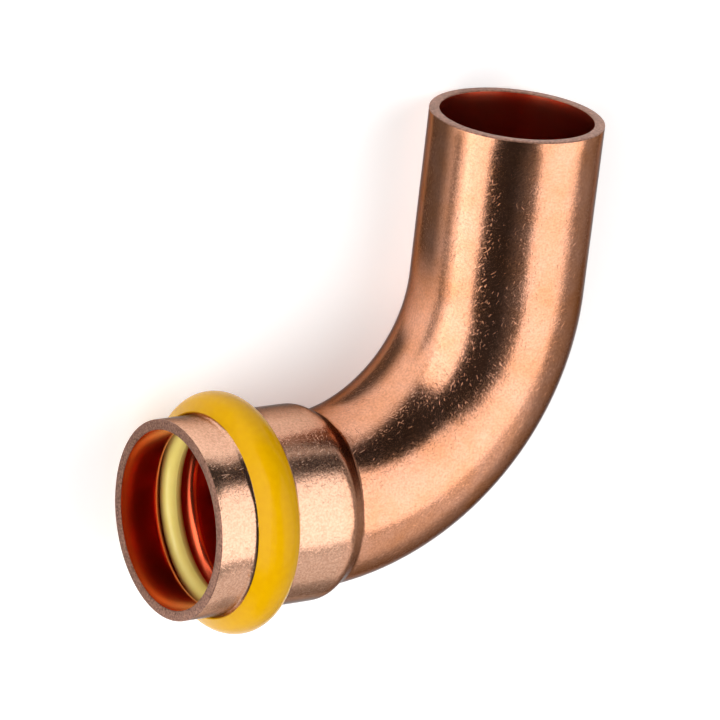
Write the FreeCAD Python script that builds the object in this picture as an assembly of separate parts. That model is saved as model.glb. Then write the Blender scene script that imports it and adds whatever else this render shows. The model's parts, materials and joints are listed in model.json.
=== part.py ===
import FreeCAD
import Part
import math
import os

# Press fit elbow for 22 mm copper gas pipe, with a press socket on one leg and a plain spigot
# on the other. Lengths are in millimetres and angles in degrees.

# Bent tube and spigot
TUBE_RADIUS = 11.0
TUBE_WALL = 1.3
BEND_RADIUS = 26.4
SPIGOT_LENGTH = 22.1
SPIGOT_EDGE = 0.15

# Socket, whose lip, bead and barrel share one bore before the shoulder brings it down to the tube
PIPE_CLEARANCE = 0.175
LIP_WALL = 1.3
LIP_EDGE = 0.15
BARREL_WALL = 1.2
BARREL_LENGTH = 7.0
SHOULDER_RADIUS = 2.85
SHOULDER_SLOPE = 30.0
CREASE_RADIUS = 1.0
BEND_UNDER_SHOULDER = 2.5

# Bead, an outward fold of the wall that holds the seal
LIP_LENGTH = 4.65
BEAD_WALL = 1.05
BEAD_HALF_WIDTH = 3.45
BEAD_FOOT_RADIUS = 0.9
GROOVE_MOUTH_RADIUS = 1.4

# Seal, a rubber ring that a pipe only just clears until the bead is pressed
SEAL_SECTION = 2.75
SEAL_GAP = 0.03
SEAL_PIPE_GAP = 0.03

# Marking ring, a thin plastic band snapped over the bead
MARKING_THICKNESS = 0.24
MARKING_GAP = 0.01
MARKING_FOOT_ANGLE = 50.0

# Radii and places that follow
TUBE_BORE = TUBE_RADIUS - TUBE_WALL
SOCKET_BORE = TUBE_RADIUS + PIPE_CLEARANCE
LIP_RADIUS = SOCKET_BORE + LIP_WALL
BARREL_RADIUS = SOCKET_BORE + BARREL_WALL
SEAL_RING_RADIUS = TUBE_RADIUS + SEAL_PIPE_GAP + SEAL_SECTION / 2
GROOVE_RADIUS = SEAL_SECTION / 2 + SEAL_GAP
BEAD_RADIUS = GROOVE_RADIUS + BEAD_WALL
BEAD_CENTRE = LIP_LENGTH + BEAD_HALF_WIDTH
BEAD_END = BEAD_CENTRE + BEAD_HALF_WIDTH
BARREL_END = BEAD_END + BARREL_LENGTH

# How far a tool shape runs on past the metal it cuts or joins
OVERRUN = 1.0

ORIGIN = FreeCAD.Vector(0, 0, 0)
X_AXIS = FreeCAD.Vector(1, 0, 0)
Y_AXIS = FreeCAD.Vector(0, 1, 0)
Z_AXIS = FreeCAD.Vector(0, 0, 1)


# Profile edges, in a plane whose x is the depth from the mouth and whose y is the radius
def line(x1, r1, x2, r2):
    return Part.LineSegment(FreeCAD.Vector(x1, r1, 0), FreeCAD.Vector(x2, r2, 0)).toShape()


def arc(x, r, radius, start, end):
    """Arc about (x, r), from one angle to the other."""
    points = []
    for angle in (start, (start + end) / 2, end):
        turn = math.radians(angle)
        points.append(FreeCAD.Vector(x + radius * math.cos(turn), r + radius * math.sin(turn), 0))
    return Part.Arc(*points).toShape()


def first_point(edge):
    return edge.valueAt(edge.FirstParameter)


def last_point(edge):
    return edge.valueAt(edge.LastParameter)


def connected(edges):
    """The edges in their order, with a straight edge wherever one ends away from the next."""
    chain = edges[:1]
    for edge in edges[1:]:
        if last_point(chain[-1]).distanceToPoint(first_point(edge)) > 1e-6:
            chain.append(Part.LineSegment(last_point(chain[-1]), first_point(edge)).toShape())
        chain.append(edge)
    return chain


def revolved(edges):
    """Solid turned about the socket's axis from a closed profile."""
    wire = Part.Wire(Part.sortEdges(edges)[0])
    return Part.Face(wire).revolve(ORIGIN, X_AXIS, 360)


def flank_lean(crest_radius, foot_radius, base_radius):
    """Angle between the socket's axis and the line square to a flank that is tangent to both arcs."""
    rise = base_radius + foot_radius - SEAL_RING_RADIUS
    spread = math.hypot(BEAD_HALF_WIDTH, rise)
    turn = math.acos((crest_radius + foot_radius) / spread)
    return math.degrees(math.atan2(rise, BEAD_HALF_WIDTH) + turn)


def bead_front(crest_radius, foot_radius, base_radius, foot_start=90):
    """Foot and front half of the crest, which is round about the seal."""
    lean = flank_lean(crest_radius, foot_radius, base_radius)
    foot = arc(LIP_LENGTH, base_radius + foot_radius, foot_radius, -foot_start, -lean)
    crest = arc(BEAD_CENTRE, SEAL_RING_RADIUS, crest_radius, 180 - lean, 90)
    return [foot, crest]


def bead_back(crest_radius, foot_radius, base_radius, foot_end=90):
    """Back half of the crest and foot."""
    lean = flank_lean(crest_radius, foot_radius, base_radius)
    crest = arc(BEAD_CENTRE, SEAL_RING_RADIUS, crest_radius, 90, lean)
    foot = arc(BEAD_END, base_radius + foot_radius, foot_radius, 180 + lean, 180 + foot_end)
    return [crest, foot]


def shoulder(barrel_radius, curve_radius, tube_radius):
    """Curve from the barrel and the cone that follows, which runs on inside the tube."""
    curve = arc(BARREL_END, barrel_radius - curve_radius, curve_radius, 90, 90 - SHOULDER_SLOPE)
    start = last_point(curve)
    end_radius = tube_radius - OVERRUN
    end_depth = start.x + (start.y - end_radius) / math.tan(math.radians(SHOULDER_SLOPE))
    return [curve, line(start.x, start.y, end_depth, end_radius)]


def shoulder_end():
    """Depth at which the cone meets the outside of the tube."""
    cone = shoulder(BARREL_RADIUS, SHOULDER_RADIUS, TUBE_RADIUS)[1]
    return last_point(cone).x - OVERRUN / math.tan(math.radians(SHOULDER_SLOPE))


BEND_START = shoulder_end() - BEND_UNDER_SHOULDER
SPIGOT_AXIS = BEND_START + BEND_RADIUS
SPIGOT_END = BEND_RADIUS + SPIGOT_LENGTH


def socket_outside():
    mouth = [
        line(0, 0, 0, LIP_RADIUS - LIP_EDGE),
        arc(LIP_EDGE, LIP_RADIUS - LIP_EDGE, LIP_EDGE, 180, 90),
    ]
    front = bead_front(BEAD_RADIUS, BEAD_FOOT_RADIUS, LIP_RADIUS)
    back = bead_back(BEAD_RADIUS, BEAD_FOOT_RADIUS, BARREL_RADIUS)
    end = shoulder(BARREL_RADIUS, SHOULDER_RADIUS, TUBE_RADIUS)
    end_depth = last_point(end[-1]).x
    return revolved(connected(mouth + front + back + end + [line(end_depth, 0, 0, 0)]))


def socket_inside():
    mouth = [
        line(-OVERRUN, 0, -OVERRUN, SOCKET_BORE + LIP_EDGE),
        arc(LIP_EDGE, SOCKET_BORE + LIP_EDGE, LIP_EDGE, 180, 270),
    ]
    front = bead_front(GROOVE_RADIUS, GROOVE_MOUTH_RADIUS, SOCKET_BORE)
    back = bead_back(GROOVE_RADIUS, GROOVE_MOUTH_RADIUS, SOCKET_BORE)
    end = shoulder(SOCKET_BORE, SHOULDER_RADIUS - BARREL_WALL, TUBE_BORE)
    end_depth = last_point(end[-1]).x
    return revolved(connected(mouth + front + back + end + [line(end_depth, 0, -OVERRUN, 0)]))


def bent_rod(radius, past_end):
    """Quarter bend and the straight run after it, as solid rod."""
    disc = Part.Face(Part.Wire(Part.makeCircle(radius, FreeCAD.Vector(BEND_START, 0, 0), X_AXIS)))
    bend = disc.revolve(FreeCAD.Vector(BEND_START, BEND_RADIUS, 0), Z_AXIS, 90)
    spigot_start = FreeCAD.Vector(SPIGOT_AXIS, BEND_RADIUS, 0)
    straight = Part.makeCylinder(radius, SPIGOT_LENGTH + past_end, spigot_start, Y_AXIS)
    return bend.fuse(straight)


def is_crease(edge):
    """Whether an edge is where the shoulder's cone meets the outside of the bend."""
    for point in edge.discretize(9):
        if abs(math.hypot(point.y, point.z) - TUBE_RADIUS) > OVERRUN / 2:
            return False
        if abs(point.x - shoulder_end()) > OVERRUN:
            return False
    return True


def elbow_body():
    """Formed from one piece of tube, so the wall runs unbroken from the mouth to the spigot's end."""
    outside = socket_outside().fuse(bent_rod(TUBE_RADIUS, 0))
    inside = socket_inside().fuse(bent_rod(TUBE_BORE, OVERRUN))
    body = outside.cut(inside).removeSplitter()
    body = body.makeFillet(CREASE_RADIUS, [edge for edge in body.Edges if is_crease(edge)])
    rim = [edge for edge in body.Edges if edge.BoundBox.YMin > SPIGOT_END - SPIGOT_EDGE]
    return body.makeFillet(SPIGOT_EDGE, rim).Solids[0]


def sealing_ring():
    centre = FreeCAD.Vector(BEAD_CENTRE, 0, 0)
    return Part.makeTorus(SEAL_RING_RADIUS, SEAL_SECTION / 2, centre, X_AXIS)


def marking_side(offset):
    """Line of the marking ring's inside or outside, which lies off the bead all along it."""
    crest = BEAD_RADIUS + offset
    foot = BEAD_FOOT_RADIUS - offset
    front = bead_front(crest, foot, LIP_RADIUS + offset, MARKING_FOOT_ANGLE)
    back = bead_back(crest, foot, BARREL_RADIUS + offset, MARKING_FOOT_ANGLE)
    return connected(front + back)


def marking_ring():
    inside = marking_side(MARKING_GAP)
    outside = marking_side(MARKING_GAP + MARKING_THICKNESS)
    front_edge = Part.LineSegment(first_point(inside[0]), first_point(outside[0])).toShape()
    back_edge = Part.LineSegment(last_point(inside[-1]), last_point(outside[-1])).toShape()
    return revolved(inside + outside + [front_edge, back_edge])


def lift():
    """How far the socket's leg tips up when the spigot and the bead's crest lie on one surface."""
    crest = BEAD_RADIUS + MARKING_GAP + MARKING_THICKNESS
    reach = SPIGOT_AXIS - BEAD_CENTRE
    dip = math.atan2(SEAL_RING_RADIUS, reach)
    return math.degrees(dip - math.asin((TUBE_RADIUS - crest) / math.hypot(reach, SEAL_RING_RADIUS)))


pieces = {
    "elbow_body": elbow_body(),
    "sealing_ring": sealing_ring(),
    "marking_ring": marking_ring(),
}

# Laid on its side, with the origin on the floor under the middle of the whole elbow
for shape in pieces.values():
    shape.rotate(ORIGIN, Y_AXIS, lift())
box = Part.makeCompound(list(pieces.values())).optimalBoundingBox(False, False)
under_middle = FreeCAD.Vector(box.Center.x, box.Center.y, box.ZMin)

os.makedirs("parts", exist_ok=True)
for name, shape in pieces.items():
    shape.translate(-under_middle)
    shape.exportStep("parts/" + name + ".step")
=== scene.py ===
import json
import math

import bmesh
import bpy
from mathutils import Matrix, Vector


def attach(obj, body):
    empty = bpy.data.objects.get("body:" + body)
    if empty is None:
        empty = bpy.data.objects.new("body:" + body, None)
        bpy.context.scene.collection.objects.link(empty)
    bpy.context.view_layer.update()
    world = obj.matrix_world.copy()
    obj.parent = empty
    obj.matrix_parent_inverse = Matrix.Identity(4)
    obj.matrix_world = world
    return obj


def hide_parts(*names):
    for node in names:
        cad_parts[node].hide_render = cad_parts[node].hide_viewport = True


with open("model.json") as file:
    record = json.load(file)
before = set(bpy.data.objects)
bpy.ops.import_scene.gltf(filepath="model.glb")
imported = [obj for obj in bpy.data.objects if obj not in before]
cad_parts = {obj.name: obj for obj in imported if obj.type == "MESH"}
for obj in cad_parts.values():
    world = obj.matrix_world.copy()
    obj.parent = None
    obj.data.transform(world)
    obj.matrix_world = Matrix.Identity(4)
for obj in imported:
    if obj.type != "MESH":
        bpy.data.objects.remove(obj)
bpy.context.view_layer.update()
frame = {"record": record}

# Elbow body.
# One piece of drawn copper tube, pressed out into a lip, a bead and a barrel at one end and bent
# through a right angle behind them. Tumbling leaves it satin, with short scratches every way.
MM = 0.001
mounts = {mount["name"]: mount for mount in frame["record"]["mounts"]}
mouth = Vector(mounts["socket"]["pos_m"])
spigot_face = Vector(mounts["spigot"]["pos_m"])

# The socket's own axes, in which every piece is modelled: into the socket, up the spigot and sideways
inward = -Vector(mounts["socket"]["axis"]).normalized()
up_spigot = Vector(mounts["spigot"]["axis"]).normalized()
sideways = inward.cross(up_spigot)

SOCKET_BORE = mounts["socket"]["dims"]["r_mm"] * MM
TUBE_RADIUS = mounts["spigot"]["dims"]["r_mm"] * MM
SPIGOT_DEPTH = (spigot_face - mouth).dot(inward)
SPIGOT_END = (spigot_face - mouth).dot(up_spigot)
TUBE_WALL = 1.3 * MM
TUBE_BORE = TUBE_RADIUS - TUBE_WALL
BEND_RADIUS = 26.4 * MM
BEND_START = SPIGOT_DEPTH - BEND_RADIUS
LIP_WALL = 1.3 * MM
LIP_RADIUS = SOCKET_BORE + LIP_WALL
LIP_LENGTH = 4.65 * MM
BARREL_WALL = 1.2 * MM
BARREL_RADIUS = SOCKET_BORE + BARREL_WALL
BARREL_LENGTH = 7.0 * MM
BEAD_HALF_WIDTH = 3.45 * MM
BEAD_CENTRE = LIP_LENGTH + BEAD_HALF_WIDTH
BEAD_END = BEAD_CENTRE + BEAD_HALF_WIDTH
BARREL_END = BEAD_END + BARREL_LENGTH
SHOULDER_SLOPE = 30.0
SHOULDER_RADIUS = 2.85 * MM
INNER_SHOULDER_RADIUS = SHOULDER_RADIUS - BARREL_WALL

# The bead is round about the seal, which lies just clear of the pipe and of the groove
SEAL_RADIUS = 1.375 * MM
SEAL_GAP = 0.03 * MM
SEAL_RING_RADIUS = TUBE_RADIUS + SEAL_GAP + SEAL_RADIUS
GROOVE_RADIUS = SEAL_RADIUS + SEAL_GAP
GROOVE_FOOT = 1.4 * MM
BEAD_WALL = 1.05 * MM
BEAD_RADIUS = GROOVE_RADIUS + BEAD_WALL
BEAD_FOOT = 0.9 * MM
CREASE_TANGENT = 0.27 * MM
RIM_EDGE = 0.15 * MM

# How fine the mesh is. Round the bend the rings come square to it at SQUARE_ANGLE, in degrees, and
# before that they lean with the crease.
ROUND = 144
FOOT_STEPS = 7
CREST_STEPS = 9
SHOULDER_STEPS = 6
CREASE_RINGS = 5
CREASE_TRIES = 6
SQUARE_ANGLE = 12.0
BEND_STEP = 2.0
SPIGOT_RINGS = 12
ON_LINE = 0.01 * MM


def deselect():
    if bpy.context.object and bpy.context.object.mode == "EDIT":
        bpy.ops.object.mode_set(mode="OBJECT")
    bpy.ops.object.select_all(action="DESELECT")


def arc(x, r, radius, start, end, steps):
    """Depths and radii along an arc about (x, r) of a profile."""
    points = []
    for step in range(steps + 1):
        turn = math.radians(start + (end - start) * step / steps)
        points.append((x + radius * math.cos(turn), r + radius * math.sin(turn)))
    return points


def bead(crest, foot, front_base, back_base, foot_turn=90.0):
    """Outline of a fold that stands out round the seal, from its front foot to its back foot."""
    outline = []
    for base, place in ((front_base, LIP_LENGTH), (back_base, BEAD_END)):
        rise = base + foot - SEAL_RING_RADIUS
        spread = math.hypot(BEAD_HALF_WIDTH, rise)
        lean = math.degrees(math.atan2(rise, BEAD_HALF_WIDTH) + math.acos((crest + foot) / spread))
        if place < BEAD_CENTRE:
            outline += arc(place, base + foot, foot, -foot_turn, -lean, FOOT_STEPS)
            outline += arc(BEAD_CENTRE, SEAL_RING_RADIUS, crest, 180 - lean, 90, CREST_STEPS)
        else:
            outline += arc(BEAD_CENTRE, SEAL_RING_RADIUS, crest, 90, lean, CREST_STEPS)[1:]
            outline += arc(place, base + foot, foot, 180 + lean, 180 + foot_turn, FOOT_STEPS)
    return outline


def shoulder(barrel, curve):
    """Depths and radii of the curve from the barrel to the cone."""
    return arc(BARREL_END, barrel - curve, curve, 90, 90 - SHOULDER_SLOPE, SHOULDER_STEPS)


def tube_point(radius, theta, phi):
    """Point on the bent tube, theta round the bend and phi round the tube."""
    reach = BEND_RADIUS - radius * math.cos(phi)
    x = BEND_START + reach * math.sin(theta)
    return Vector((x, BEND_RADIUS - reach * math.cos(theta), radius * math.sin(phi)))


def past_cone(depth, radius, end_radius):
    """Depth at which the shoulder's cone, from a depth and radius on it, comes down to end_radius."""
    return depth + (radius - end_radius) / math.tan(math.radians(SHOULDER_SLOPE))


def crease_angle(radius, cone_end, phi):
    """How far round the bend the shoulder's cone meets the tube."""
    depth = cone_end
    for _ in range(CREASE_TRIES):
        reach = BEND_RADIUS - radius * math.cos(phi)
        theta = math.asin((depth - BEND_START) / reach)
        point = tube_point(radius, theta, phi)
        depth = past_cone(cone_end, radius, math.hypot(point.y, point.z))
    return theta


def select_edges(chosen):
    """Selects, in edit mode, the edges for which chosen says yes."""
    bpy.ops.mesh.select_mode(type="EDGE")
    bpy.ops.mesh.select_all(action="DESELECT")
    edit = bmesh.from_edit_mesh(bpy.context.object.data)
    for edge in edit.edges:
        if chosen(edge):
            edge.select_set(True)
    edit.select_flush_mode()
    bmesh.update_edit_mesh(bpy.context.object.data)


def grow(depth, radius, past_depth, past_radius):
    """Extrudes the selected ring along the socket's axis and sizes it."""
    bpy.ops.mesh.extrude_edges_move(TRANSFORM_OT_translate={"value": (depth - past_depth, 0, 0)})
    size = radius / past_radius
    bpy.ops.transform.resize(value=(1, size, size), center_override=(depth, 0, 0))


def turned(name, outline):
    """Rings along an outline about the socket's axis, left in edit mode with the last one selected."""
    deselect()
    depth, radius = outline[0]
    bpy.ops.mesh.primitive_circle_add(
        vertices=ROUND, radius=radius, location=(depth, 0, 0), rotation=(0, math.pi / 2, 0))
    bpy.ops.object.transform_apply()
    made = bpy.context.object
    made.name = name
    bpy.ops.object.mode_set(mode="EDIT")
    bpy.ops.mesh.select_all(action="SELECT")
    for past, (depth, radius) in zip(outline, outline[1:]):
        grow(depth, radius, *past)
    return made


def skin(name, outline, radius):
    """One face of the wall, from the mouth through the shoulder and the bend to the spigot's end."""
    made = turned(name, outline)
    cone_end = past_cone(*outline[-1], radius)
    square = math.radians(SQUARE_ANGLE)
    for ring in range(CREASE_RINGS + 1):
        bpy.ops.mesh.extrude_edges_move()
        edit = bmesh.from_edit_mesh(made.data)
        for vertex in (v for v in edit.verts if v.select):
            if ring == 0:
                phi = math.atan2(vertex.co.z, vertex.co.y)
            else:
                reach = BEND_RADIUS - math.hypot(vertex.co.x - BEND_START, vertex.co.y - BEND_RADIUS)
                phi = math.atan2(vertex.co.z, reach)
            start = crease_angle(radius, cone_end, phi)
            theta = start + (square - start) * ring / CREASE_RINGS
            vertex.co = tube_point(radius, theta, phi)
        bmesh.update_edit_mesh(made.data)
    turns = round((90 - SQUARE_ANGLE) / BEND_STEP)
    bpy.ops.mesh.spin(
        steps=turns, angle=-math.radians(90 - SQUARE_ANGLE), use_normal_flip=True,
        center=(BEND_START, BEND_RADIUS, 0), axis=(0, 0, 1))
    run = SPIGOT_END - BEND_RADIUS
    for _ in range(SPIGOT_RINGS):
        bpy.ops.mesh.extrude_edges_move(TRANSFORM_OT_translate={"value": (0, run / SPIGOT_RINGS, 0)})
    bpy.ops.object.mode_set(mode="OBJECT")
    return made


outside = (
    [(0, LIP_RADIUS), (LIP_LENGTH / 2, LIP_RADIUS)]
    + bead(BEAD_RADIUS, BEAD_FOOT, LIP_RADIUS, BARREL_RADIUS)
    + [((BEAD_END + BARREL_END) / 2, BARREL_RADIUS)]
    + shoulder(BARREL_RADIUS, SHOULDER_RADIUS)
)
inside = (
    [(0, SOCKET_BORE), (LIP_LENGTH / 2, SOCKET_BORE)]
    + bead(GROOVE_RADIUS, GROOVE_FOOT, SOCKET_BORE, SOCKET_BORE)
    + [((BEAD_END + BARREL_END) / 2, SOCKET_BORE)]
    + shoulder(SOCKET_BORE, INNER_SHOULDER_RADIUS)
)


def at_crease(edge, radius, outline):
    """Whether an edge runs round the line where the shoulder's cone meets the tube."""
    cone_end = past_cone(*outline[-1], radius)
    for vertex in edge.verts:
        reach = BEND_RADIUS - math.hypot(vertex.co.x - BEND_START, vertex.co.y - BEND_RADIUS)
        phi = math.atan2(vertex.co.z, reach)
        point = tube_point(radius, crease_angle(radius, cone_end, phi), phi)
        if (point - vertex.co).length > ON_LINE:
            return False
    return True


def placed(made):
    """Brings a piece from the socket's own axes to its place in the frame."""
    turn = Matrix((inward, up_spigot, sideways)).transposed().to_4x4()
    made.data.transform(Matrix.Translation(mouth) @ turn)
    made.data.update()


outer_skin = skin("elbow_skin", outside, TUBE_RADIUS)
bpy.ops.object.mode_set(mode="EDIT")
select_edges(lambda edge: at_crease(edge, TUBE_RADIUS, outside))
bpy.ops.mesh.bevel(offset=CREASE_TANGENT, segments=4, affect="EDGES")
bpy.ops.object.mode_set(mode="OBJECT")
inner_skin = skin("elbow_bore", inside, TUBE_BORE)


def linear(code):
    """Linear colour of an sRGB hex code."""
    parts = [int(code[i:i + 2], 16) / 255 for i in (1, 3, 5)]
    return [c / 12.92 if c <= 0.04045 else ((c + 0.055) / 1.055) ** 2.4 for c in parts] + [1.0]


def add(tree, kind, inputs=(), **settings):
    """Adds a shader node with its settings, and its inputs as values or as links."""
    made = tree.nodes.new("ShaderNode" + kind)
    for name, value in settings.items():
        setattr(made, name, value)
    for socket, value in dict(inputs).items():
        if isinstance(value, bpy.types.NodeSocket):
            tree.links.new(value, made.inputs[socket])
        else:
            made.inputs[socket].default_value = value
    return made


def new_material(name):
    made = bpy.data.materials.new(name)
    made.use_nodes = True
    return made, made.node_tree, made.node_tree.nodes["Principled BSDF"]


def scratches(tree, place, normal, cell, length, width, tilt, share, seed):
    """Lean of the surface in short straight scratches, one to a cell, each its own way. Sizes in mm."""
    shifted = add(tree, "VectorMath", {0: place, 1: (seed, 2.3 * seed, 3.1 * seed)}, operation="ADD")
    cells = add(tree, "TexVoronoi", {"Vector": shifted.outputs[0], "Scale": 1 / cell})
    local = add(tree, "VectorMath", {0: shifted.outputs[0], 1: cells.outputs["Position"]},
                operation="SUBTRACT")
    random = add(tree, "VectorMath", {0: cells.outputs["Color"], 1: (0.5, 0.5, 0.5)}, operation="SUBTRACT")
    along = add(tree, "VectorMath", {0: random.outputs[0], 1: normal}, operation="CROSS_PRODUCT")
    along = add(tree, "VectorMath", {0: along.outputs[0]}, operation="NORMALIZE")
    across = add(tree, "VectorMath", {0: along.outputs[0], 1: normal}, operation="CROSS_PRODUCT")
    inside_stroke = tilt
    for way, reach in ((along, length / 2), (across, width / 2)):
        run = add(tree, "VectorMath", {0: local.outputs[0], 1: way.outputs[0]}, operation="DOT_PRODUCT")
        off = add(tree, "Math", {0: run.outputs["Value"]}, operation="ABSOLUTE")
        near = add(tree, "MapRange", {"Value": off.outputs[0], "From Min": reach, "From Max": 0.4 * reach},
                   interpolation_type="SMOOTHSTEP")
        stroke = add(tree, "Math", {0: near.outputs[0], 1: inside_stroke}, operation="MULTIPLY")
        inside_stroke = stroke.outputs[0]
    luck = add(tree, "SeparateColor", {0: cells.outputs["Color"]})
    kept = add(tree, "Math", {0: luck.outputs["Green"], 1: share}, operation="LESS_THAN")
    depth = add(tree, "Math", {0: kept.outputs[0], 1: luck.outputs["Blue"]}, operation="MULTIPLY")
    lean = add(tree, "Math", {0: inside_stroke, 1: depth.outputs[0]}, operation="MULTIPLY")
    leans = add(tree, "VectorMath", {0: across.outputs[0], "Scale": lean.outputs[0]}, operation="SCALE")
    return leans.outputs[0]


def in_millimetres(tree):
    """Object coordinates in millimetres."""
    place = add(tree, "TexCoord").outputs["Object"]
    return add(tree, "VectorMath", {0: place, "Scale": 1 / MM}, operation="SCALE").outputs[0]


SOCKET_END = (17.5, 20.5)


def in_socket(tree, place):
    """One in the socket and nought past the shoulder, with a change between two depths in mm."""
    depth = add(tree, "VectorMath", {0: place, 1: tuple(inward)}, operation="DOT_PRODUCT").outputs["Value"]
    depth = add(tree, "Math", {0: depth, 1: mouth.dot(inward) / MM}, operation="SUBTRACT")
    full, clear = SOCKET_END
    return add(tree, "MapRange", {"Value": depth.outputs[0], "From Min": clear, "From Max": full}).outputs[0]


# Tumbled copper: a metal with a warm red colour and a satin face, whose reflections have soft, furry
# borders, because each short scratch catches light from another side. The scratches are drawn about
# twice as wide as they are, or they would be lost.
copper, tree, shader = new_material("tumbled_copper")
place = in_millimetres(tree)
normal = add(tree, "NewGeometry").outputs["Normal"]
leaning = normal

# Cell, length, width, lean, share of the cells that hold a scratch, and seed
for layer in (
    (0.45, 0.45, 0.06, 0.24, 0.95, 3.7),
    (0.7, 0.7, 0.06, 0.27, 0.8, 11.9),
    (0.9, 0.9, 0.06, 0.30, 0.6, 17.3),
    (1.3, 1.3, 0.06, 0.34, 0.4, 23.1),
    (2.6, 2.4, 0.07, 0.36, 0.2, 31.3),
):
    lean = scratches(tree, place, normal, *layer)
    leaning = add(tree, "VectorMath", {0: leaning, 1: lean}, operation="ADD").outputs[0]
leaning = add(tree, "VectorMath", {0: leaning}, operation="NORMALIZE").outputs[0]

# The scratches fade towards the spigot's end, which is smoother. Sockets 4 and 5 of Mix take vectors.
along_spigot = add(tree, "SeparateXYZ", {0: place}).outputs["Y"]
worn = add(tree, "MapRange", {"Value": along_spigot, "From Min": 22.0, "From Max": 31.0, "To Max": 0.75})
leaning = add(tree, "Mix", {0: worn.outputs[0], 4: leaning, 5: normal}, data_type="VECTOR").outputs[1]

# Fine grain, slow waves of the drawn wall and faint stains
grain = add(tree, "TexNoise", {"Vector": place, "Scale": 3.6, "Detail": 2.0, "Roughness": 0.6}).outputs[0]
wave = add(tree, "TexNoise", {"Vector": place, "Scale": 0.16, "Detail": 1.0})
stain = add(tree, "TexNoise", {"Vector": place, "Scale": 0.22, "Detail": 4.0, "Roughness": 0.6})
tone = add(tree, "MapRange", {"Value": stain.outputs[0], "From Min": 0.35, "From Max": 0.7})
colour = add(tree, "Mix", {"Factor": tone.outputs[0], "A": linear("#E2A688"), "B": linear("#DA966E")},
             data_type="RGBA")
# The socket's copper is paler and pinker than the rest, which lightens and whitens its reflections: a
# painted highlight over the socket.
colour = add(tree, "Mix", {"Factor": in_socket(tree, place), "A": colour.outputs["Result"],
                           "B": linear("#E4B498")}, data_type="RGBA")
dull = add(tree, "MapRange", {"Value": grain, "From Min": 0.62, "From Max": 0.36, "To Max": 0.4})
colour = add(tree, "Mix", {"Factor": dull.outputs[0], "A": colour.outputs["Result"], "B": linear("#A86A4C")},
             data_type="RGBA")
tree.links.new(colour.outputs["Result"], shader.inputs["Base Color"])
swell = add(tree, "Bump", {"Height": wave.outputs[0], "Distance": 0.05 * MM, "Normal": leaning})
speckle = add(tree, "Bump", {"Height": grain, "Distance": 0.009 * MM, "Normal": swell.outputs[0]})
tree.links.new(speckle.outputs[0], shader.inputs["Normal"])
rough = add(tree, "MapRange", {"Value": grain, "To Min": 0.14, "To Max": 0.26})
tree.links.new(rough.outputs[0], shader.inputs["Roughness"])
shader.inputs["Metallic"].default_value = 1.0
# The grey specular tint dims the reflections towards the outline, which paints shade along the elbow's
# edges.
shader.inputs["Specular Tint"].default_value = linear("#7C8084")

# Drawn bore: the same copper inside under the red film of oxide that annealing leaves. It is smooth, and
# light is thrown from wall to wall in it, so that little but deep red comes out. The socket, which was
# heated twice, has more of the film.
bore, tree, shader = new_material("annealed_copper_bore")
place = in_millimetres(tree)
stain = add(tree, "TexNoise", {"Vector": place, "Scale": 0.3, "Detail": 3.0})
colour = add(tree, "Mix", {"Factor": stain.outputs[0], "A": linear("#EC8664"), "B": linear("#D66A4A")},
             data_type="RGBA")
colour = add(tree, "Mix", {"Factor": in_socket(tree, place), "A": colour.outputs["Result"],
                           "B": linear("#EE6642")}, data_type="RGBA")
tree.links.new(colour.outputs["Result"], shader.inputs["Base Color"])
shader.inputs["Metallic"].default_value = 1.0
shader.inputs["Roughness"].default_value = 0.22

# Sawn rim: bare copper left dull by the saw, with its marks across it.
rim, tree, shader = new_material("sawn_copper_rim")
place = in_millimetres(tree)
marks = add(tree, "TexNoise", {"Vector": place, "Scale": 3.6, "Detail": 4.0, "Roughness": 0.7})
tone = add(tree, "MapRange", {"Value": marks.outputs[0], "From Min": 0.3, "From Max": 0.68})
colour = add(tree, "Mix", {"Factor": tone.outputs[0], "A": linear("#563426"), "B": linear("#BE8E78")},
             data_type="RGBA")
tree.links.new(colour.outputs["Result"], shader.inputs["Base Color"])
rough_face = add(tree, "Bump", {"Height": marks.outputs[0], "Distance": 0.08 * MM})
tree.links.new(rough_face.outputs[0], shader.inputs["Normal"])
shader.inputs["Metallic"].default_value = 0.75
shader.inputs["Roughness"].default_value = 0.45


RIM_SLOT = 2


def at_mouth(edge):
    return all(vertex.co.x < ON_LINE for vertex in edge.verts)


def at_spigot_end(edge):
    return all(vertex.co.y > SPIGOT_END - ON_LINE for vertex in edge.verts)


# Both skins are closed to each other with a flat rim at the mouth and at the spigot's end, joined, and
# broken at the rims' edges.
deselect()
outer_skin.data.materials.append(copper)
inner_skin.data.materials.append(bore)
outer_skin.select_set(True)
bpy.context.view_layer.objects.active = outer_skin
bpy.ops.object.mode_set(mode="EDIT")
for at_end, centre, share in (
    (at_mouth, (0, 0, 0), SOCKET_BORE / LIP_RADIUS),
    (at_spigot_end, (SPIGOT_DEPTH, SPIGOT_END, 0), TUBE_BORE / TUBE_RADIUS),
):
    select_edges(at_end)
    bpy.ops.mesh.extrude_edges_move()
    bpy.ops.transform.resize(value=(share, share, share), center_override=centre)
bpy.ops.object.mode_set(mode="OBJECT")
inner_skin.select_set(True)
bpy.ops.object.join()
elbow = outer_skin
elbow.name = "elbow"
elbow.data.materials.append(rim)
elbow.active_material_index = RIM_SLOT
bpy.ops.object.mode_set(mode="EDIT")
bpy.ops.mesh.select_all(action="SELECT")
bpy.ops.mesh.remove_doubles(threshold=0.001 * MM)
bpy.ops.mesh.normals_make_consistent(inside=False)
for at_end in (at_mouth, at_spigot_end):
    select_edges(at_end)
    bpy.ops.object.material_slot_assign()
    select_edges(lambda edge: at_end(edge) and len({face.material_index for face in edge.link_faces}) > 1)
    bpy.ops.mesh.bevel(offset=RIM_EDGE, segments=3, affect="EDGES", material=RIM_SLOT)
bpy.ops.object.mode_set(mode="OBJECT")
placed(elbow)
deselect()
elbow.select_set(True)
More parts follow.
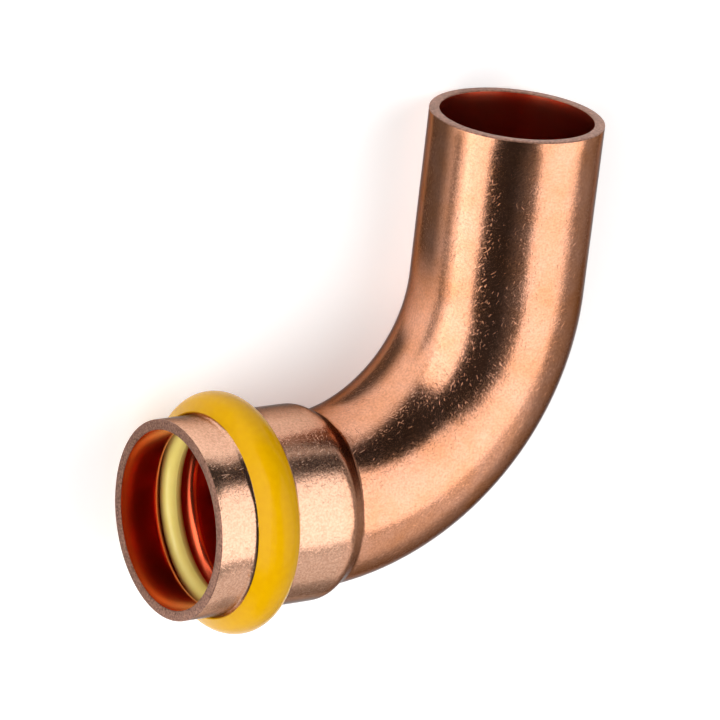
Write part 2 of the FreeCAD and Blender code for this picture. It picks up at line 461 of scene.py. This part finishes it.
bpy.context.view_layer.objects.active = elbow
bpy.ops.object.shade_smooth_by_angle(angle=math.radians(35))
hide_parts("elbow_body")
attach(elbow, "root")

# Sealing ring.
# A moulded rubber ring of round section, dropped into the groove inside the bead. It stands a little
# inside the bore, where the pipe squeezes it once the bead is pressed, and the two halves of its mould
# leave a fine raised line round it, inside and outside.
FLASH_WIDTH = 0.12 * MM
FLASH_HEIGHT = 0.02 * MM
ON_FLASH = 0.003 * MM


def at_radius(edge, radius):
    return all(abs(math.hypot(vertex.co.y, vertex.co.z) - radius) < ON_FLASH for vertex in edge.verts)


deselect()
bpy.ops.mesh.primitive_torus_add(
    major_segments=ROUND, minor_segments=40, major_radius=SEAL_RING_RADIUS, minor_radius=SEAL_RADIUS,
    location=(BEAD_CENTRE, 0, 0), rotation=(0, math.pi / 2, 0))
bpy.ops.object.transform_apply()
seal = bpy.context.object
seal.name = "seal"
bpy.ops.object.mode_set(mode="EDIT")
for line, lifted in (
    (SEAL_RING_RADIUS - SEAL_RADIUS, -FLASH_HEIGHT),
    (SEAL_RING_RADIUS + SEAL_RADIUS, FLASH_HEIGHT),
):
    select_edges(lambda edge: at_radius(edge, line))
    bpy.ops.mesh.bevel(offset=FLASH_WIDTH / 2, segments=2, affect="EDGES")
    select_edges(lambda edge: at_radius(edge, line))
    size = (line + lifted) / line
    bpy.ops.transform.resize(value=(1, size, size), center_override=(BEAD_CENTRE, 0, 0))
bpy.ops.mesh.select_all(action="SELECT")
bpy.ops.mesh.normals_make_consistent(inside=False)
bpy.ops.object.mode_set(mode="OBJECT")
placed(seal)
bpy.ops.object.shade_smooth_by_angle(angle=math.radians(30))

# Moulded rubber: smooth from the mould, with a soft sheen and a faint uneven bloom.
rubber, tree, shader = new_material("moulded_rubber")
place = in_millimetres(tree)
bloom = add(tree, "TexNoise", {"Vector": place, "Scale": 0.5, "Detail": 3.0})
colour = add(tree, "Mix", {"Factor": bloom.outputs[0], "A": linear("#F6E888"), "B": linear("#EEDC74")},
             data_type="RGBA")
tree.links.new(colour.outputs["Result"], shader.inputs["Base Color"])
shader.inputs["Roughness"].default_value = 0.2
seal.data.materials.append(rubber)
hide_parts("sealing_ring")
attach(seal, "root")

# Marking ring.
# A thin band of signal yellow over the bead, which tells a gas fitting from a water one. It is gloss
# plastic, formed to the bead and snapped on.
MARKING_GAP = 0.01 * MM
MARKING_THICKNESS = 0.24 * MM
MARKING_FOOT_TURN = 50.0
MARKING_EDGE = 0.08 * MM
off_bead = MARKING_GAP + MARKING_THICKNESS
marking_outline = bead(
    BEAD_RADIUS + off_bead, BEAD_FOOT - off_bead, LIP_RADIUS + off_bead, BARREL_RADIUS + off_bead,
    MARKING_FOOT_TURN)
marking = turned("marking", marking_outline)
bpy.ops.mesh.select_all(action="SELECT")
bpy.ops.mesh.normals_make_consistent(inside=False)
bpy.ops.object.mode_set(mode="OBJECT")
wall = marking.modifiers.new("wall", "SOLIDIFY")
wall.thickness = MARKING_THICKNESS
wall.offset = -1.0
wall.use_even_offset = True
bpy.ops.object.modifier_apply(modifier=wall.name)
edges = marking.modifiers.new("edges", "BEVEL")
edges.width = MARKING_EDGE
edges.segments = 3
edges.limit_method = "ANGLE"
edges.angle_limit = math.radians(50)
bpy.ops.object.modifier_apply(modifier=edges.name)
placed(marking)
bpy.ops.object.shade_smooth_by_angle(angle=math.radians(40))

# Gloss plastic: an even strong yellow, with a soft highlight and the slight unevenness of a thin band.
yellow, tree, shader = new_material("gloss_plastic")
place = in_millimetres(tree)
cloud = add(tree, "TexNoise", {"Vector": place, "Scale": 1.1, "Detail": 2.0})
tone = add(tree, "MapRange", {"Value": cloud.outputs[0], "From Min": 0.2, "From Max": 0.8})
colour = add(tree, "Mix", {"Factor": tone.outputs[0], "A": linear("#D29A00"), "B": linear("#D8A300")},
             data_type="RGBA")
tree.links.new(colour.outputs["Result"], shader.inputs["Base Color"])
uneven = add(tree, "Bump", {"Height": cloud.outputs[0], "Distance": 0.0015 * MM})
tree.links.new(uneven.outputs[0], shader.inputs["Normal"])
shader.inputs["Roughness"].default_value = 0.2
shader.inputs["Specular IOR Level"].default_value = 0.1
marking.data.materials.append(yellow)
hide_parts("marking_ring")
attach(marking, "root")

# Stage.
# A pale floor, a soft box to either side, dimmer lamps, dark cards that paint shade into the metal's
# reflections, and a dark room behind the camera, so that the metal shows broad light bands with dark ones
# between. Sizes of lamps and floor are in metres.
FLOOR_SIZE = 6.0
FLOOR_LIFT = 0.32
deselect()
bpy.ops.mesh.primitive_plane_add(size=FLOOR_SIZE)
floor = bpy.context.object
floor.name = "floor"

# Matt paper, which camera, gloss and glass see a little lighter than the lamps leave it.
paper, tree, shader = new_material("matt_paper")
shader.inputs["Base Color"].default_value = linear("#F2F2F2")
shader.inputs["Roughness"].default_value = 0.9
shader.inputs["Specular IOR Level"].default_value = 0.0
path = add(tree, "LightPath").outputs
seen = add(tree, "Math", {0: path["Is Camera Ray"], 1: path["Is Glossy Ray"]}, operation="MAXIMUM")
seen = add(tree, "Math", {0: seen.outputs[0], 1: path["Is Transmission Ray"]}, operation="MAXIMUM")
lift = add(tree, "Math", {0: seen.outputs[0], 1: FLOOR_LIFT}, operation="MULTIPLY")
shader.inputs["Emission Color"].default_value = (1, 1, 1, 1)
tree.links.new(lift.outputs[0], shader.inputs["Emission Strength"])
floor.data.materials.append(paper)

AIM = Vector((-1.76, 1.52, 13.38)) * MM
LAMP_DISTANCE = 1.0


def direction(azimuth, elevation):
    """Unit vector at an angle from +X towards +Y, and above the horizon."""
    a, e = math.radians(azimuth), math.radians(elevation)
    return Vector((math.cos(a) * math.cos(e), math.sin(a) * math.cos(e), math.sin(e)))


def soft_box(name, azimuth, elevation, width, height, radiance, shift=(0, 0), roll=0):
    """Rectangular lamp of a set radiance that faces the elbow, shifted and rolled in its own plane."""
    lamp = bpy.data.lights.new(name, "AREA")
    lamp.shape = "RECTANGLE"
    lamp.size, lamp.size_y = width, height
    lamp.energy = radiance * math.pi * width * height
    made = bpy.data.objects.new(name, lamp)
    out = direction(azimuth, elevation)
    facing = out.to_track_quat("Z", "Y")
    made.location = AIM + out * LAMP_DISTANCE + facing @ Vector((*shift, 0))
    made.rotation_mode = "QUATERNION"
    made.rotation_quaternion = facing @ Matrix.Rotation(math.radians(roll), 3, "Z").to_quaternion()
    bpy.context.scene.collection.objects.link(made)
    made.visible_camera = False
    return made


soft_box("right_box", 5, 55, 1.4, 1.15, 1.65, shift=(0.1, 0.045), roll=16)
soft_box("left_box", 175, 18, 1.4, 0.66, 2.2, roll=-12)
soft_box("low_card", -58, 20, 1.1, 0.66, 0.6)
fill = soft_box("fill", 186, 38, 1.0, 0.8, 3.0)
fill.visible_glossy = False


def painted_shade_card(name, centre, facing, width, height, level):
    """Dark card glowing at a set grey level that only the gloss in front of it shows, faded at its sides and
    top: painted shade in the reflections. Lengths are in mm.
    """
    deselect()
    bpy.ops.mesh.primitive_plane_add(size=1.0)
    made = bpy.context.object
    made.name = name
    bpy.ops.object.mode_set(mode="EDIT")
    bpy.ops.transform.resize(value=(width * MM, height * MM, 1))
    bpy.ops.object.mode_set(mode="OBJECT")
    turn = facing.to_track_quat("Z", "Y").to_matrix().to_4x4()
    made.data.transform(Matrix.Translation(Vector(centre) * MM) @ turn)
    grey, tree, shader = new_material(name)
    shader.inputs["Base Color"].default_value = (0, 0, 0, 1)
    shader.inputs["Specular IOR Level"].default_value = 0.0
    shader.inputs["Emission Color"].default_value = (1, 1, 1, 1)
    shader.inputs["Emission Strength"].default_value = level
    behind = add(tree, "NewGeometry").outputs["Backfacing"]
    shown = add(tree, "Math", {0: 1.0, 1: behind}, operation="SUBTRACT").outputs[0]
    sheet = add(tree, "SeparateXYZ", {0: add(tree, "TexCoord").outputs["UV"]}).outputs
    for side, clear, full in (("X", 0.0, 0.25), ("X", 1.0, 0.75), ("Y", 1.0, 0.65)):
        fade = add(tree, "MapRange", {"Value": sheet[side], "From Min": clear, "From Max": full},
                   interpolation_type="SMOOTHSTEP")
        shown = add(tree, "Math", {0: shown, 1: fade.outputs[0]}, operation="MULTIPLY").outputs[0]
    tree.links.new(shown, shader.inputs["Alpha"])
    made.data.materials.append(grey)
    made.visible_camera = False
    made.visible_diffuse = False
    made.visible_shadow = False


# Painted shade in the reflections: on the right darker surroundings, by the spigot and the bend the elbow's
# contact shadow on the floor, and before the mouth a darker stretch of floor.
painted_shade_card("shade_card_right", (43.3, -25, 16.5), direction(150, 0), 200, 33, 0.42)
painted_shade_card("shade_card_spigot", (4.8, 23, 8), direction(0, 0), 34, 16, 0.2)
painted_shade_card("shade_card_bend", (0.9, 0.2, 6.5), direction(-45, 0), 14, 13, 0.16)
painted_shade_card("shade_card_mouth", (-50, -17, 0.1), direction(0, 90), 52, 80, 0.25)

# The room is dark behind the camera and lighter beyond the elbow, with a pale strip above the horizon.
ROOM_DARK = 0.025
ROOM_LIGHT = 0.35
HORIZON = 0.8
world = bpy.data.worlds.new("studio")
bpy.context.scene.world = world
world.use_nodes = True
tree = world.node_tree
background = tree.nodes["Background"]
way = add(tree, "TexCoord").outputs["Generated"]
height = add(tree, "SeparateXYZ", {0: way}).outputs["Z"]
away = add(tree, "VectorMath", {0: way, 1: tuple(direction(-30, 20))}, operation="DOT_PRODUCT")
depth = add(tree, "MapRange", {"Value": away.outputs["Value"], "From Min": 0.15, "From Max": 0.8,
                               "To Min": ROOM_DARK, "To Max": ROOM_LIGHT})
horizon = add(tree, "MapRange", {"Value": height, "From Min": 0.075, "From Max": 0.11,
                                 "To Min": 1.0, "To Max": 0.0}, interpolation_type="SMOOTHSTEP")
level = add(tree, "Mix", {0: horizon.outputs[0], 2: depth.outputs[0], 3: HORIZON}, data_type="FLOAT")
tree.links.new(level.outputs[0], background.inputs["Strength"])
background.inputs["Color"].default_value = (1, 1, 1, 1)

# Camera, at the photograph's angle: it looks down on the elbow from beyond the socket's mouth, and is
# rolled so that the spigot points up the picture.
CAMERA_AZIMUTH = 143.4
CAMERA_ELEVATION = 54.98
CAMERA_ROLL = 127.85
CAMERA_DISTANCE = 609.56 * MM
SENSOR_WIDTH = 36.0
FOCAL_LENGTH = 246.09
lens = bpy.data.cameras.new("camera")
lens.sensor_width = SENSOR_WIDTH
lens.lens = FOCAL_LENGTH
camera = bpy.data.objects.new("camera", lens)
back = direction(CAMERA_AZIMUTH, CAMERA_ELEVATION)
camera.location = AIM + back * CAMERA_DISTANCE
level_view = (-back).to_track_quat("-Z", "Y")
roll = Matrix.Rotation(math.radians(CAMERA_ROLL), 3, "Z").to_quaternion()
camera.rotation_mode = "QUATERNION"
camera.rotation_quaternion = level_view @ roll
bpy.context.scene.collection.objects.link(camera)
bpy.context.scene.camera = camera
bpy.context.scene.view_settings.view_transform = "Standard"
